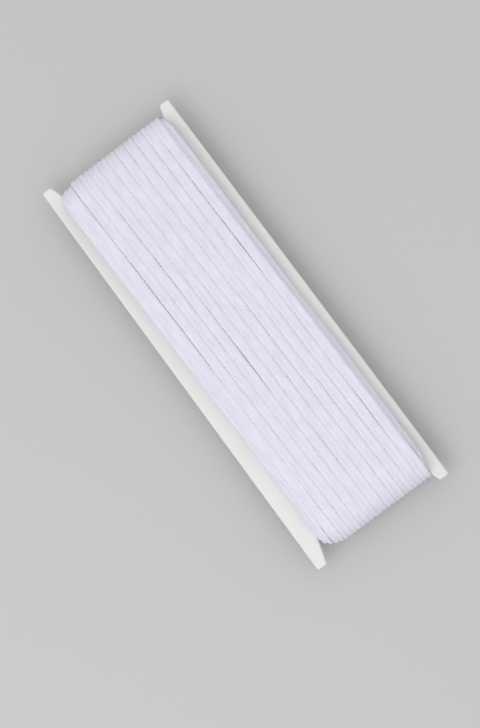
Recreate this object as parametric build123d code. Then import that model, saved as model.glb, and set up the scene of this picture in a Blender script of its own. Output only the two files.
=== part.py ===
from build123d import *
import math
import os

os.makedirs("parts", exist_ok=True)

# String reel: a flat H-shaped winding card with soft flat string wound lengthwise round its web.
# Millimetres, +Z up, +X along the card. The origin is the middle of the footprint, on the
# surface that the reel lies on: it rests on the flat underside of the winding.

# Winding card: one flat moulding. Its two long rails run past the web as tips, and the notch
# between the tips at each end keeps the turns from slipping off sideways.
card_length = 130.0
card_width = 44.0
card_thickness = 2.4
edge_radius = 0.6
tip_width = 3.0
tip_outer_radius = 0.7
tip_inner_radius = 1.0
notch_depth = 7.8
notch_flare = 17.0
notch_corner_radius = 0.5

# Starting slit: a narrow cut in the bottom of one notch that grips the string's inner end.
slit_width = 0.8
slit_length = 6.0
slit_offset = 13.5

# Flat string, wound in layers. Each layer is a little narrower than the one under it, most of
# all on the side where the winding stops. At the card's ends the turns squeeze into the notch.
string_thickness = 1.1
layers = 5
winding_width = 38.0
step_on_starting_side = 0.3
step_on_stopping_side = 1.0
notch_clearance = 0.5
squeeze_length = 4.0

web_end = card_length / 2 - notch_depth
tip_inner_y = card_width / 2 - tip_width
flare_slope = math.tan(math.radians(notch_flare))
notch_bottom_y = tip_inner_y - notch_depth * flare_slope
build_up = layers * string_thickness
mid_height = card_thickness / 2 + build_up


def notch():
    """The notch at the card's +X end, drawn a little past the tips."""
    overshoot = 1.0
    mouth_x = card_length / 2 + overshoot
    mouth_y = tip_inner_y + overshoot * flare_slope
    return Polygon(
        (mouth_x, mouth_y),
        (web_end, notch_bottom_y),
        (web_end, -notch_bottom_y),
        (mouth_x, -mouth_y),
        align=None,
    )


def corners(plan, x, y):
    """The outline's four corners whose distances from the centre lines are x and y."""
    return plan.vertices().filter_by(
        lambda corner: math.isclose(abs(corner.X), x, abs_tol=0.01)
        and math.isclose(abs(corner.Y), y, abs_tol=0.01)
    )


def winding_card():
    plan = Rectangle(card_length, card_width) - notch() - mirror(notch(), about=Plane.YZ)
    plan = fillet(corners(plan, card_length / 2, card_width / 2), tip_outer_radius)
    plan = fillet(corners(plan, card_length / 2, tip_inner_y), tip_inner_radius)
    plan = fillet(corners(plan, web_end, notch_bottom_y), notch_corner_radius)
    card = Pos(Z=mid_height) * extrude(plan, card_thickness / 2, both=True)
    rims = card.faces().sort_by(Axis.Z)[0].edges() + card.faces().sort_by(Axis.Z)[-1].edges()
    card = fillet(rims, edge_radius)
    slit = Box(slit_length, slit_width, 2 * card_thickness, align=(Align.MAX, Align.CENTER, Align.CENTER))
    return card - Pos(web_end, slit_offset, mid_height) * slit


def wrapped_web(thickness, low_y, high_y):
    """The web's own section, grown all round by a thickness, from low_y to high_y."""
    section = RectangleRounded(
        2 * (web_end + thickness),
        card_thickness + 2 * thickness,
        edge_radius + thickness,
    )
    bar = extrude(Plane.XZ * section, (high_y - low_y) / 2, both=True)
    return Pos(Y=(low_y + high_y) / 2, Z=mid_height) * bar


def winding_plan():
    """The winding seen from above: straight sides, pinched where the notches hold the turns."""
    pinch_y = notch_bottom_y - notch_clearance
    quarter = [
        (web_end - squeeze_length, winding_width / 2),
        (web_end, pinch_y),
        (web_end + build_up, pinch_y + build_up * flare_slope),
    ]
    right_end = [(x, -y) for x, y in quarter] + list(reversed(quarter))
    left_end = [(-x, -y) for x, y in right_end]
    return Polygon(*right_end, *left_end, align=None)


def string_winding():
    turns = Part()
    for layer in range(layers):
        low_y = -winding_width / 2 + layer * step_on_stopping_side
        high_y = winding_width / 2 - layer * step_on_starting_side
        turns += wrapped_web((layer + 1) * string_thickness, low_y, high_y)
    turns &= extrude(winding_plan(), 2 * mid_height)
    return turns - wrapped_web(0, -winding_width, winding_width)


export_step(winding_card(), "parts/winding_card.step")
export_step(string_winding(), "parts/string_winding.step")
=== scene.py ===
import math
import random

import bpy
import numpy as np
from mathutils import Matrix, Vector


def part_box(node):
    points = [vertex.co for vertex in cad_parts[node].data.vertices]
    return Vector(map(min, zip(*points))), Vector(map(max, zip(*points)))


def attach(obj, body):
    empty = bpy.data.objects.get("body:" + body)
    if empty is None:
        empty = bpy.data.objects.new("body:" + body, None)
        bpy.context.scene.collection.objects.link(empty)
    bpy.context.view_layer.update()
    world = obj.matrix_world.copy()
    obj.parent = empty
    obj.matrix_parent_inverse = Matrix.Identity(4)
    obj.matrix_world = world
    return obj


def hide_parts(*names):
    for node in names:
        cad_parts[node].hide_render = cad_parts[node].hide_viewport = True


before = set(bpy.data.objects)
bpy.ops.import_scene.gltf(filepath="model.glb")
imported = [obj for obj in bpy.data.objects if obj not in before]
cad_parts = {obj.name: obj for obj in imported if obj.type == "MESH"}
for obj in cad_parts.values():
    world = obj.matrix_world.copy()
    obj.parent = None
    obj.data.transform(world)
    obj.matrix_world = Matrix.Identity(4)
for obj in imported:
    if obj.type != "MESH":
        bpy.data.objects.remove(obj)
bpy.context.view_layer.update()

# The winding card: one flat injection moulding in white polypropylene, with two long rails, the
# web that the string is wound on, and a flared notch at each end. Its shape is the CAD card's own.
mm = 0.001
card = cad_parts["winding_card"]
card_low, card_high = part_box("winding_card")


def linear(hex_colour):
    """An sRGB hex colour such as #E6E6E4 as the linear colour that a shader socket takes."""
    shades = [int(hex_colour[i:i + 2], 16) / 255 for i in (1, 3, 5)]
    return [s / 12.92 if s <= 0.04045 else ((s + 0.055) / 1.055) ** 2.4 for s in shades] + [1.0]


def add_node(tree, kind, settings=None, **inputs):
    """Adds a shader node, with its own settings and with a value or a link for each named input."""
    node = tree.nodes.new(kind)
    for name, value in (settings or {}).items():
        setattr(node, name, value)
    for name, value in inputs.items():
        socket = node.inputs[int(name[1:]) if name[0] == "_" else name.replace("_", " ")]
        if isinstance(value, bpy.types.NodeSocket):
            tree.links.new(value, socket)
        else:
            socket.default_value = value
    return node


def new_material(name):
    """An empty material with its node tree."""
    material = bpy.data.materials.new(name)
    material.use_nodes = True
    material.node_tree.nodes.clear()
    return material, material.node_tree


# Polypropylene from a finely spark-eroded mould: even, milky white and satin, with a soft sheen
# and a faint unevenness where the walls shrank. The grain is really finer than it is drawn.
polypropylene, tree = new_material("moulded_white_polypropylene")
place = add_node(tree, "ShaderNodeTexCoord")
grain_size = 0.35 * mm
sink_size = 14 * mm
grain = add_node(
    tree, "ShaderNodeTexNoise", Vector=place.outputs["Object"], Scale=1 / grain_size, Detail=2.0,
)
sinks = add_node(
    tree, "ShaderNodeTexNoise", Vector=place.outputs["Object"], Scale=1 / sink_size, Detail=1.0,
)
tint = add_node(
    tree, "ShaderNodeMix", {"data_type": "RGBA"},
    _0=sinks.outputs["Fac"], _6=linear("#E1E1DF"), _7=linear("#E6E6E4"),
)
sheen_change = add_node(
    tree, "ShaderNodeMapRange", Value=grain.outputs["Fac"], To_Min=0.36, To_Max=0.50,
)
grain_bump = add_node(
    tree, "ShaderNodeBump", Height=grain.outputs["Fac"], Strength=0.12, Distance=0.02 * mm,
)
sink_bump = add_node(
    tree, "ShaderNodeBump", Height=sinks.outputs["Fac"], Strength=0.5, Distance=0.25 * mm,
    Normal=grain_bump.outputs["Normal"],
)
surface = add_node(
    tree, "ShaderNodeBsdfPrincipled", Base_Color=tint.outputs[2],
    Roughness=sheen_change.outputs["Result"], IOR=1.49, Normal=sink_bump.outputs["Normal"],
)
add_node(tree, "ShaderNodeOutputMaterial", Surface=surface.outputs["BSDF"])
card.data.materials.clear()
card.data.materials.append(polypropylene)

# The string: one length of soft flat polyester braid, 3 mm wide with two low ribs. It starts in
# the slit in one notch, goes to and fro over the web in five layers, and slides down the last
# layers' shoulder to end tucked under its own neighbours on the underside.
winding_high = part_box("string_winding")[1]
string_width = 3.00 * mm
layer_count = 5
mid_z = (card_low.z + card_high.z) / 2
half_card = (card_high.z - card_low.z) / 2
layer_height = (winding_high.z - card_high.z) / layer_count
web_end = winding_high.x - layer_count * layer_height
bend_x = web_end - half_card
notch_half_width = 16.6 * mm
notch_slope = math.tan(math.radians(17))
dice = random.Random(11)

# Each inner layer's turns, and where across the card each layer starts; its last turn lies at
# the edge where the next one starts, and the last inner turn comes up beside the top layer.
# Places in the inner layers are given for a pack that is full_reach wide on each side.
layer_turns = (12, 12, 11, 12)
full_reach = 17.5 * mm
layer_edges = (full_reach, -full_reach, 17.2 * mm, -15.6 * mm, full_reach)
top_turns = 12
top_edge = 16.88 * mm
top_start = 0.98 * top_edge
top_pitch = 2.985 * mm

# The shares of a turn that one pass along the card and one bend round its end take.
pass_share = 0.46
bend_share = 0.04

# The pack widens towards +X on its starting side and narrows there on its stopping side: how far
# out it reaches at its -X end, how much it gains or loses, and over what length.
starting_reach = 17.5 * mm
starting_growth = 0.8 * mm
growth_length = 25 * mm
stopping_reach = 17.0 * mm
stopping_loss = 1.6 * mm
loss_start = -35 * mm
loss_length = 95 * mm

# In the top layer the string creeps sideways mostly on its way over the top, and the turns fan
# out a little towards -X. A row of creep is a share of a turn and a share of the pitch.
creep = ((0, 0), (0.46, 0.70), (1, 1))
fan = 0.35

# How the last top turns go down the shoulder: the turn, with the layers that it lies lower, the
# tangent of the angle that it tips out by, or the millimetres that it is tucked inwards.
step_down = (
    (9.3, 0), (9.7, 0.2), (9.95, 0.4), (10.0, 0.4), (10.15, 0.25), (10.4, 0.5), (10.5, 0.9),
    (10.96, 1.6), (11.0, 1.7), (11.15, 1.2), (11.4, 1.05), (11.6, 1.36),
)
tipping = (
    (9.7, 0), (9.95, 0.3), (10.0, 0.3), (10.15, 0.1), (10.5, 0.1), (10.9, 0.8), (11.0, 1.1),
    (11.2, 0.75), (11.4, 0.2), (11.5, 0.1),
)
tuck = ((9.8, 0), (10.0, 0.1), (10.2, 0), (10.6, 0), (11.0, 0.3), (11.4, 1.0))

# The turn before the top layer lies low on the opposite shoulder, tipped out steeply, and climbs
# to the top layer on its way round. A row is the turns until the top layer, as a minus number,
# with the layers that it lies higher or the tangent of the angle that it tips out by. With
# climb_share of its turn left it starts to move over to the top layer's first lane, and takes
# move_share of a turn for that.
climb = ((-1.1, 0), (-1.0, -0.35), (-0.75, -0.35), (-0.52, 0.3), (-0.3, 0.35), (-0.05, 1))
climbing_tip = ((-1, 1.5), (-0.5, 0.6), (-0.3, 0.6), (-0.05, 0))
climb_share = 0.3
move_share = 0.25

# Where neighbouring turns of the top layer lie a little apart: the turn, the place along the
# card, the stretch's half length and the gap.
loose_places = (
    (0, -20 * mm, 19 * mm, 0.13 * mm),
    (0, 38 * mm, 6 * mm, 0.05 * mm),
    (1, -12 * mm, 8 * mm, 0.06 * mm),
    (3, 6 * mm, 18 * mm, 0.04 * mm),
    (5, 4 * mm, 5 * mm, 0.07 * mm),
    (5, 38 * mm, 7 * mm, 0.11 * mm),
    (6, 5 * mm, 9 * mm, 0.20 * mm),
    (6, 36 * mm, 8 * mm, 0.07 * mm),
    (7, -31 * mm, 12 * mm, 0.11 * mm),
    (7, 2 * mm, 8 * mm, 0.10 * mm),
    (8, 12 * mm, 14 * mm, 0.06 * mm),
    (9, -12 * mm, 22 * mm, 0.09 * mm),
)

# The top turns were wound by hand, so they sway, lift and roll a little, over these lengths.
# The slow sway shifts along by a radian every sway_turns.
slow_sway, slow_sway_length = 0.06 * mm, 13 * mm
sway_turns = 2.3
quick_sway, quick_sway_length = 0.03 * mm, 4.3 * mm
lift, lift_length = 0.03 * mm, 8 * mm
roll, roll_length = 0.05, 12 * mm

# How quickly, in a bend, the string comes to lie within the notch.
pinch = 1.2


def smooth(share):
    """A share of 0 to 1, eased at both ends."""
    share = min(max(share, 0.0), 1.0)
    return share * share * (3 - 2 * share)


def read_off(place, rows):
    """The value at a place in rows of places and values."""
    return np.interp(place, *zip(*rows))


def lane(layer, turn):
    """How far across the card the string lies after so many turns of a layer."""
    if layer < layer_count - 1:
        share = min(turn / (layer_turns[layer] - 1), 1.0)
        y = layer_edges[layer] + share * (layer_edges[layer + 1] - layer_edges[layer])
        if layer == layer_count - 2:
            y += (top_start - y) * smooth((turn - layer_turns[layer] + climb_share) / move_share)
        return y
    whole = math.floor(turn)
    return top_edge - top_pitch * (whole + read_off(turn - whole, creep)) + read_off(turn, tuck) * mm


def level(layer, turn):
    """The string's height in layers above the web. An inner layer climbs in its last bend."""
    if layer == layer_count - 1:
        return layer + 0.5 - read_off(turn, step_down)
    left = layer_turns[layer] - turn
    if layer < layer_count - 2:
        return layer + 0.5 + smooth(1 - left / bend_share)
    return layer + 0.5 + read_off(-left, climb)


def tip_of(layer, turn):
    """How far the string tips over to +Y: the tangent of the angle."""
    if layer == layer_count - 1:
        return -read_off(turn, tipping)
    if layer == layer_count - 2 and turn > layer_turns[layer] - 1:
        return read_off(turn - layer_turns[layer], climbing_tip)
    return 0.0


def looseness(turn, x):
    """How far a top turn is pushed sideways at the loose places."""
    push = 0.0
    for upper_turn, place_x, half_length, gap in loose_places:
        reach = math.exp(-((x - place_x) / half_length) ** 2)
        if turn == upper_turn:
            push += gap / 2 * reach
        if turn == upper_turn + 1:
            push -= gap / 2 * reach
    return push


def pack_edge(x, y):
    """How far out the inner layers reach, on the side of the card that y lies on."""
    if y > 0:
        return starting_reach + starting_growth * smooth(x / growth_length)
    return stopping_reach - stopping_loss * smooth((x - loss_start) / loss_length)


def squeezed(x, y, height, tip, nearness, on_top):
    """The string's place across the card, pinched into the notch as it goes round the end."""
    room = notch_half_width + notch_slope * (height - half_card)
    room -= string_width / 2 / math.hypot(1, tip)
    if on_top:
        return y + (max(min(y, room), -room) - y) * nearness
    edge = pack_edge(x, y)
    edge += (min(edge, room) - edge) * nearness
    return y * edge / full_reach


def turn_steps(pass_points, bend_points):
    """One turn: over the top to -X, round the card's end, back underneath, round the other end.
    A step is its side, its place along the card, its angle round the card's end, which is None
    on a straight pass, and the share of the turn that lies behind it."""
    steps = []
    for side in (1, -1):
        behind = 0 if side > 0 else 0.5
        for i in range(pass_points):
            share = (i + 0.5) / pass_points
            steps.append((side, bend_x * side * (1 - 2 * share), None, behind + pass_share * share))
        for i in range(bend_points):
            share = (i + 0.5) / bend_points
            angle = math.pi * ((0.5 if side > 0 else 1.5) + share)
            steps.append((side, -bend_x * side, angle, behind + pass_share + bend_share * share))
    return steps


def add_turn(points, layer, turn, pass_points, bend_points, share_end=1.0):
    """Adds one turn's points. A point is its place, the outward direction of the string's flat
    face there, and 1 in a bend or 0 on a straight pass."""
    on_top = layer == layer_count - 1
    climbing = layer_turns[layer] - climb_share if layer == layer_count - 2 else math.inf
    tilts = [dice.uniform(0, 2 * math.pi) for _ in range(2)]
    for side, x, angle, share in turn_steps(pass_points, bend_points):
        if share > share_end:
            break
        progress = turn + share
        height = half_card + layer_height * level(layer, progress)
        y = lane(layer, progress)
        tip = tip_of(layer, progress)
        nearness = 0.0 if angle is None else smooth(pinch * abs(math.cos(angle)))
        if on_top:
            y *= 1 - fan * x
            y += slow_sway * math.sin(x / slow_sway_length + turn / sway_turns)
            y += quick_sway * math.sin(x / quick_sway_length + turn)
        if on_top and side > 0 and angle is None:
            y += looseness(turn, x)
            tip += roll * math.sin(x / roll_length + tilts[0])
            height += lift * math.sin(x / lift_length + tilts[1])
        y = squeezed(x, y, height, tip, nearness, on_top or progress > climbing)
        if angle is None:
            points.append(((x, y, mid_z + side * height), (0, tip, side), 0))
            continue
        reach = height / math.cos(math.pi / bend_points / 2)
        place_now = (x + reach * math.cos(angle), y, mid_z + reach * math.sin(angle))
        points.append((place_now, (math.cos(angle), tip, math.sin(angle)), 1))


# The string's start, gripped on edge in the slit, and its way up to the first turn.
slit_y = 13.5 * mm
slit_x = web_end - 3.2 * mm
points = [
    ((slit_x, slit_y, mid_z - 1.0 * mm), (0.2, 1, 0), 1),
    ((slit_x, slit_y, mid_z + 0.5 * mm), (0.2, 1, 0), 1),
    ((slit_x - 0.4 * mm, slit_y + 0.2 * mm, mid_z + half_card + 0.2 * mm), (0.3, 0.8, 0.3), 1),
    ((slit_x - 3.8 * mm, slit_y + 0.9 * mm, mid_z + half_card + 0.5 * mm), (0, 0, 1), 1),
]
bend_points = 6
coarse_pass = 5
fine_pass = 23
last_turn_share = 0.62
for layer in range(layer_count - 1):
    for turn in range(layer_turns[layer]):
        add_turn(points, layer, turn, coarse_pass, bend_points)
top_layer_start = len(points)
for turn in range(top_turns):
    share_end = last_turn_share if turn == top_turns - 1 else 1.0
    add_turn(points, layer_count - 1, turn, fine_pass, bend_points, share_end)

# On the underside the tail slants in between its neighbours and the layer nearer the web, and
# flattens as it goes.
tail = points[-1][0]
tail_step = (5 * mm, 1.5 * mm, 0.4 * mm)
for step in range(1, 5):
    place_now = tuple(at + move * step for at, move in zip(tail, tail_step))
    points.append((place_now, (0, -0.5 + 0.1 * step, -1), 0))

line = bpy.data.curves.new("string_line", "CURVE")
line.dimensions = "3D"
line.resolution_u = 8
spline = line.splines.new("NURBS")
spline.points.add(len(points) - 1)
for point, (place_now, _, _) in zip(spline.points, points):
    point.co = (*place_now, 1.0)
spline.order_u = 3
spline.use_endpoint_u = True
line_object = bpy.data.objects.new("string_line", line)
bpy.context.scene.collection.objects.link(line_object)
bpy.context.view_layer.update()
depsgraph = bpy.context.evaluated_depsgraph_get()
read_line = bpy.data.meshes.new_from_object(line_object.evaluated_get(depsgraph))
run = np.array([v.co for v in read_line.vertices])
bpy.data.objects.remove(line_object)
bpy.data.meshes.remove(read_line)

# The inner layers and the bends need fewer rings than the passes of the top layer.
knot = np.linspace(0, len(points) - 2, len(run))
knot_of_point = np.clip(np.arange(len(points)) - 0.5, 0, len(points) - 2)
outward = np.stack([np.interp(knot, knot_of_point, [p[1][axis] for p in points]) for axis in range(3)], 1)
bending = np.interp(knot, knot_of_point, [p[2] for p in points])
is_top = knot > top_layer_start
is_bend = bending > 0.1
ring_step = np.where(is_top, np.where(is_bend, 2, 1), np.where(is_bend, 4, 8))
kept = np.arange(len(run)) % ring_step == 0
kept[-1] = True
run, outward, is_top, bending = run[kept], outward[kept], is_top[kept], bending[kept]

along = np.gradient(run, axis=0)
along /= np.linalg.norm(along, axis=1)[:, None]
outward -= (outward * along).sum(1)[:, None] * along
outward /= np.linalg.norm(outward, axis=1)[:, None]
across = np.cross(along, outward)
distance = np.concatenate([[0], np.cumsum(np.linalg.norm(np.diff(run, axis=0), axis=1))])

# One ring of the braid: nine points over its outer face, with two ribs and a valley between
# them, and five round its inner face. The sides are upright, where the turns press together. The
# ribs stand out where the braid bends, and from rib_start on they stand out more towards +X, by a
# share of rib_rise per metre. A point is its place across, its height where the ribs lie low and
# its height where they stand out, in millimetres.
outer_face = (
    (1.5, 0.20, 0.20), (1.28, 0.38, 0.37), (0.8, 0.54, 0.54), (0.3, 0.46, 0.33), (0.0, 0.38, 0.18),
)
inner_face = ((1.5, -0.22, -0.22), (1.1, -0.52, -0.52), (0.0, -0.52, -0.52))
ring = [(-a, *heights) for a, *heights in outer_face] + list(reversed(outer_face[:-1]))
ring += list(inner_face) + [(-a, *heights) for a, *heights in reversed(inner_face[:-1])]
ring_across = np.array([a for a, _, _ in ring]) * mm
rib_start = 0.01
rib_rise = 9
standing_out = np.clip(2 * bending - 1, 0, 1) + np.clip(rib_rise * (run[:, 0] - rib_start), 0, 1)
standing_out = np.clip(standing_out, 0, 1)

# The braid's edges are ragged from stitch to stitch, and every other stitch of a rib is fuller.
stitch_beat = np.where(np.arange(len(run)) % 2 == 0, 1.0, -1.0) * is_top
raggedness = np.random.default_rng(5).uniform(-1, 1, (2, len(run))) * is_top
edge_beat = 0.016
rib_beat = 0.05
spread = np.where(is_top, 1 - fan * run[:, 0], 1.0)
rows = []
for place_across, low_height, full_height in ring:
    on_edge = abs(place_across) > 1.2
    on_rib = low_height > 0.5
    ragged = edge_beat * (stitch_beat + raggedness[int(place_across > 0)]) * on_edge
    fuller = rib_beat * stitch_beat * np.sign(place_across) * on_rib
    height = low_height + (full_height - low_height) * standing_out
    sideways = across * (place_across * mm * spread * (1 + ragged))[:, None]
    upwards = outward * (height * mm * (1 + fuller))[:, None]
    rows.append(run + sideways + upwards)
vertices = np.stack(rows, 1).reshape(-1, 3)
faces = []
ring_size = len(ring)
for ring_index in range(len(run) - 1):
    start = ring_index * ring_size
    for i in range(ring_size):
        j = (i + 1) % ring_size
        faces.append((start + i, start + j, start + ring_size + j, start + ring_size + i))
faces.append(tuple(range(ring_size))[::-1])
faces.append(tuple((len(run) - 1) * ring_size + i for i in range(ring_size)))
string_mesh = bpy.data.meshes.new("string")
string_mesh.from_pydata(vertices.tolist(), [], faces)
run_uv = string_mesh.uv_layers.new(name="string_run")
uv = np.zeros((len(string_mesh.loops), 2))
loop_vertex = np.zeros(len(string_mesh.loops), int)
string_mesh.loops.foreach_get("vertex_index", loop_vertex)
uv[:, 0] = distance[loop_vertex // ring_size]
uv[:, 1] = ring_across[loop_vertex % ring_size]
run_uv.data.foreach_set("uv", uv.ravel())
string_mesh.polygons.foreach_set("use_smooth", [True] * len(string_mesh.polygons))
string_mesh.update()
string = bpy.data.objects.new("string", string_mesh)
bpy.context.scene.collection.objects.link(string)
bpy.ops.object.select_all(action="DESELECT")
string.select_set(True)
bpy.context.view_layer.objects.active = string
bpy.ops.object.mode_set(mode="EDIT")
bpy.ops.mesh.select_all(action="SELECT")
bpy.ops.mesh.normals_make_consistent(inside=False)
bpy.ops.object.mode_set(mode="OBJECT")

# Soft braided polyester with optical whitener: matt, slightly lavender, and fuzzy at grazing
# angles. Slanting stitches run down each rib and meet as a row of Vs, with a painted highlight on their
# crests.
braid, tree = new_material("braided_white_polyester")
run_map = add_node(tree, "ShaderNodeUVMap", {"uv_map": "string_run"})
split = add_node(tree, "ShaderNodeSeparateXYZ", Vector=run_map.outputs["UV"])


def number_node(operation, *values):
    """A number worked out from others by the braid's shader."""
    inputs = {f"_{i}": value for i, value in enumerate(values)}
    return add_node(tree, "ShaderNodeMath", {"operation": operation}, **inputs).outputs[0]


def streaks(length, width, detail):
    """Random streaks of a length and width along the string, as a value around a half."""
    stretched = add_node(
        tree, "ShaderNodeMapping", Vector=run_map.outputs["UV"], Scale=(1 / length, 1 / width, 1),
    )
    noise = add_node(
        tree, "ShaderNodeTexNoise", Vector=stretched.outputs["Vector"], Scale=1.0, Detail=detail,
    )
    return noise.outputs["Fac"]


stitch = 0.9 * mm
rib_place = 0.75 * mm
from_middle = number_node("ABSOLUTE", split.outputs["Y"])
slant = number_node("ABSOLUTE", number_node("SUBTRACT", from_middle, rib_place))
wander = number_node("MULTIPLY_ADD", streaks(3 * mm, 1.5 * mm, 1.0), 1.6 * mm, split.outputs["X"])
phase = number_node("MULTIPLY_ADD", slant, 0.8, wander)
wave = number_node("SINE", number_node("MULTIPLY", phase, 2 * math.pi / stitch))
fibres = streaks(0.9 * mm, 0.35 * mm, 2.0)
mottle = streaks(5 * mm, 1.6 * mm, 1.0)
edge_weight = add_node(
    tree, "ShaderNodeMapRange", Value=from_middle,
    From_Min=0.7 * mm, From_Max=1.3 * mm, To_Min=0.10, To_Max=0.30,
)
relief = number_node("MULTIPLY_ADD", wave, edge_weight.outputs["Result"], fibres)
shade = add_node(tree, "ShaderNodeMapRange", Value=mottle, From_Min=0.3, From_Max=0.7)
yarn = add_node(
    tree, "ShaderNodeMix", {"data_type": "RGBA"},
    _0=shade.outputs["Result"], _6=linear("#DDDAE9"), _7=linear("#E5E2F1"),
)
# Painted highlight: where the stitch relief is highest, the yarn colour is lightened towards near white.
painted_highlight_mask = add_node(tree, "ShaderNodeMapRange", Value=relief, From_Min=0.65, From_Max=0.96)
yarn_with_painted_highlights = add_node(
    tree, "ShaderNodeMix", {"data_type": "RGBA"},
    _0=painted_highlight_mask.outputs["Result"], _6=yarn.outputs[2], _7=linear("#F7F6FD"),
)
braid_bump = add_node(tree, "ShaderNodeBump", Height=relief, Strength=1.0, Distance=0.10 * mm)
surface = add_node(
    tree, "ShaderNodeBsdfPrincipled", Base_Color=yarn_with_painted_highlights.outputs[2], Roughness=0.9, IOR=1.5,
    Sheen_Weight=0.2, Sheen_Roughness=0.5, Normal=braid_bump.outputs["Normal"],
)
surface.inputs["Specular IOR Level"].default_value = 0.2
add_node(tree, "ShaderNodeOutputMaterial", Surface=surface.outputs["BSDF"])
string.data.materials.append(braid)
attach(string, "root")
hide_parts("string_winding")

# The table that the reel lies on: a plain pale sheet, well past the picture on every side.
bpy.ops.object.select_all(action="DESELECT")
bpy.ops.mesh.primitive_plane_add(size=4.0, location=(0, 0, 0))
table = bpy.context.object
table.name = "table_top"
paper, tree = new_material("pale_paper")
surface = add_node(tree, "ShaderNodeBsdfPrincipled", Base_Color=linear("#C4C4C3"), Roughness=0.9)
add_node(tree, "ShaderNodeOutputMaterial", Surface=surface.outputs["BSDF"])
table.data.materials.append(paper)

# Light: a large soft box above the stopping side of the reel, and a pale room whose walls are
# dimmer than its ceiling.
key_data = bpy.data.lights.new("soft_box", "AREA")
key_data.shape = "SQUARE"
key_data.size = 0.35
key_data.energy = 0.64
key = bpy.data.objects.new("soft_box", key_data)
key_place = Vector((0.15, -0.27, 0.45))
key.location = key_place
key.rotation_euler = (Vector((0, 0, 0)) - key_place).to_track_quat("-Z", "Y").to_euler()
bpy.context.scene.collection.objects.link(key)
room = bpy.data.worlds.new("room")
room.use_nodes = True
tree = room.node_tree
tree.nodes.clear()
direction = add_node(tree, "ShaderNodeTexCoord")
upward = add_node(tree, "ShaderNodeSeparateXYZ", Vector=direction.outputs["Generated"])
ceiling = add_node(tree, "ShaderNodeMapRange", Value=upward.outputs["Z"], To_Min=0.60, To_Max=1.0)
sky = add_node(tree, "ShaderNodeBackground", Color=(1, 1, 1, 1), Strength=ceiling.outputs["Result"])
add_node(tree, "ShaderNodeOutputWorld", Surface=sky.outputs["Background"])
bpy.context.scene.world = room
bpy.context.scene.view_settings.view_transform = "Standard"

# Camera: almost straight above, leaning a little towards the +X end, with the card's length
# running from upper left to lower right.
aim = Vector((6.91 * mm, -5.78 * mm, mid_z))
camera_elevation = math.radians(81.35)
camera_azimuth = math.radians(13.18)
camera_distance = 0.555
up_azimuth = math.radians(143.70)
back = Vector((
    math.cos(camera_azimuth) * math.cos(camera_elevation),
    math.sin(camera_azimuth) * math.cos(camera_elevation),
    math.sin(camera_elevation),
))
up_hint = Vector((math.cos(up_azimuth), math.sin(up_azimuth), 0))
right = up_hint.cross(back).normalized()
up = back.cross(right)
camera_data = bpy.data.cameras.new("camera")
camera_data.lens = 100
camera_data.sensor_width = 36
camera = bpy.data.objects.new("camera", camera_data)
turned = Matrix((right, up, back)).transposed().to_4x4()
camera.matrix_world = Matrix.Translation(aim + back * camera_distance) @ turned
camera_data.clip_start = 0.01
bpy.context.scene.collection.objects.link(camera)
bpy.context.scene.camera = camera
